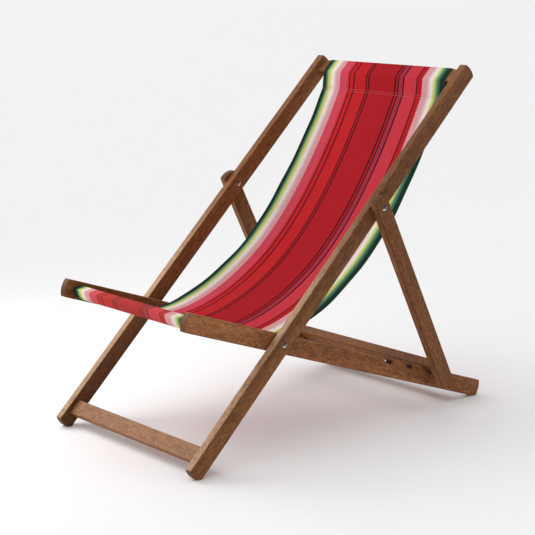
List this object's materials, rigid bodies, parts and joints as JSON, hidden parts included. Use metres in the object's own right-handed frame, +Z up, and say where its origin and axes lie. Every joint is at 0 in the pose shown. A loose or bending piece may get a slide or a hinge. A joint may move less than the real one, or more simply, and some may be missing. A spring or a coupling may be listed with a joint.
{
  "type": "folding deck chair",
  "caption": "Folding timber deck chair: a striped cloth sling hangs between two hinged rail frames, held open by a swinging prop that rests in recline notches.",
  "frame": {"origin": "on the ground, midway between the two sides and midway between the frontmost and rearmost timber", "axes": "+Z up, +X to the sitter's left, and the chair faces -Y"},
  "size_m": [0.6214, 1.0556, 0.9284],
  "materials": {
    "timber_rails": "oiled hardwood, satin",
    "timber_slats": "oiled hardwood, satin",
    "striped_cloth": "woven cotton canvas, striped",
    "domed_bolts": "bright zinc plate",
    "washers": "zinc plate",
    "steel_pins": "bright steel"
  },
  "bodies": {
    "back_frame": {"back_rail_left": "timber_rails", "back_rail_right": "timber_rails", "top_bar": "timber_slats", "bottom_stretcher": "timber_slats", "back_frame_pins": "steel_pins", "sling": "striped_cloth", "seat_pivot_screw_left": "domed_bolts", "seat_pivot_screw_right": "domed_bolts", "seat_pivot_nut_left": "domed_bolts", "seat_pivot_nut_right": "domed_bolts", "seat_pivot_washer_left": "washers", "seat_pivot_washer_right": "washers", "prop_pivot_screw_left": "domed_bolts", "prop_pivot_screw_right": "domed_bolts", "prop_pivot_nut_left": "domed_bolts", "prop_pivot_nut_right": "domed_bolts", "prop_pivot_washer_left": "washers", "prop_pivot_washer_right": "washers"},
    "seat_frame": {"seat_rail_left": "timber_rails", "seat_rail_right": "timber_rails", "seat_front_bar": "timber_slats", "seat_rear_stretcher": "timber_slats", "seat_frame_pins": "steel_pins"},
    "prop_frame": {"prop_leg_left": "timber_rails", "prop_leg_right": "timber_rails", "prop_bar": "timber_slats", "prop_bar_pins": "steel_pins"}
  },
  "joints": [
    {"name": "seat_fold", "type": "hinge", "parent": "back_frame", "child": "seat_frame", "pos_m": [0, -0.23241, 0.2813], "axis": [1, 0, 0], "range_deg": [0, 60], "deforming": ["sling"]},
    {"name": "prop_swing", "type": "hinge", "parent": "back_frame", "child": "prop_frame", "pos_m": [0, 0.08564, 0.58651], "axis": [1, 0, 0], "range_deg": [0, 107]}
  ],
  "couplings": [
    {"joint": "prop_swing", "follows": "seat_fold", "ratio": 1.7833}
  ]
}
